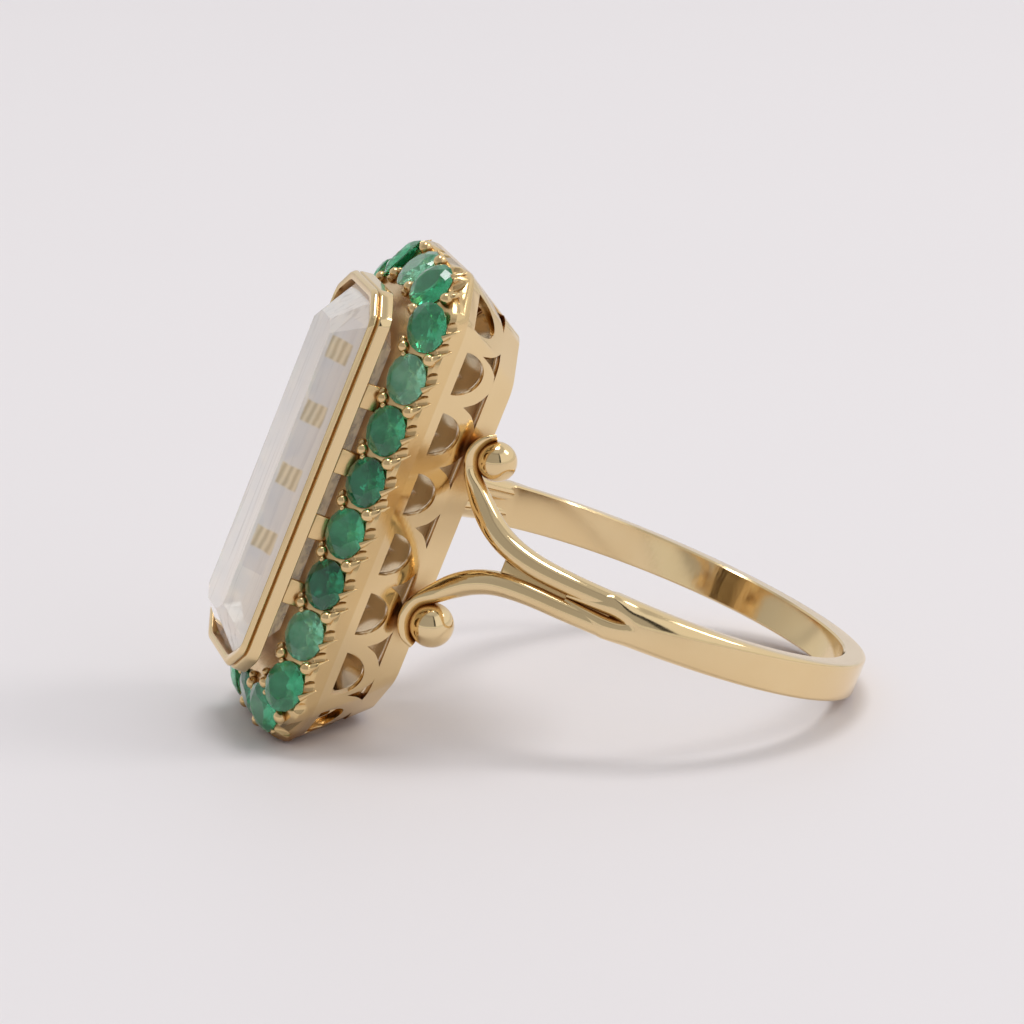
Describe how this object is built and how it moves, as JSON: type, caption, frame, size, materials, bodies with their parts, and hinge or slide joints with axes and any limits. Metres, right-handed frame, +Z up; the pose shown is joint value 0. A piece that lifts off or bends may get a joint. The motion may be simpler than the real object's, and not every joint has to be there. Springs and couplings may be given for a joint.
{
  "type": "cocktail ring",
  "caption": "Cocktail ring with a long octagonal clear crystal in a gold collet, a halo of round green stones, a pierced gallery and a band whose shoulders split into scrolls.",
  "frame": {"origin": "on the table surface, at the centre of the object's plan box, with the ring lying on its side as it rests", "axes": "+Z up from the table, +X from the jewelled head to the back of the band, +Y from the nearer long side of the head to the farther one"},
  "size_m": [0.0264, 0.0194, 0.0187],
  "materials": {
    "gold": "polished pale yellow gold",
    "emerald": "polished faceted green stone",
    "crystal": "polished colourless step-cut stone"
  },
  "bodies": {
    "root": {"shank": "gold", "scroll_arm_near_upper": "gold", "scroll_arm_near_lower": "gold", "scroll_arm_far_upper": "gold", "scroll_arm_far_lower": "gold", "scroll_ball_near_upper": "gold", "scroll_ball_near_lower": "gold", "scroll_ball_far_upper": "gold", "scroll_ball_far_lower": "gold", "crotch_web_near": "gold", "crotch_web_far": "gold", "base_rail": "gold", "gallery_wall": "gold", "halo_setting": "gold", "crystal_bezel": "gold", "collet_post_near_1": "gold", "collet_post_near_2": "gold", "collet_post_near_3": "gold", "collet_post_near_4": "gold", "collet_post_far_1": "gold", "collet_post_far_2": "gold", "collet_post_far_3": "gold", "collet_post_far_4": "gold", "centre_crystal": "crystal", "emerald_01": "emerald", "emerald_02": "emerald", "emerald_03": "emerald", "emerald_04": "emerald", "emerald_05": "emerald", "emerald_06": "emerald", "emerald_07": "emerald", "emerald_08": "emerald", "emerald_09": "emerald", "emerald_10": "emerald", "emerald_11": "emerald", "emerald_12": "emerald", "emerald_13": "emerald", "emerald_14": "emerald", "emerald_15": "emerald", "emerald_16": "emerald", "emerald_17": "emerald", "emerald_18": "emerald", "emerald_19": "emerald", "emerald_20": "emerald", "emerald_21": "emerald", "emerald_22": "emerald"}
  },
  "joints": []
}
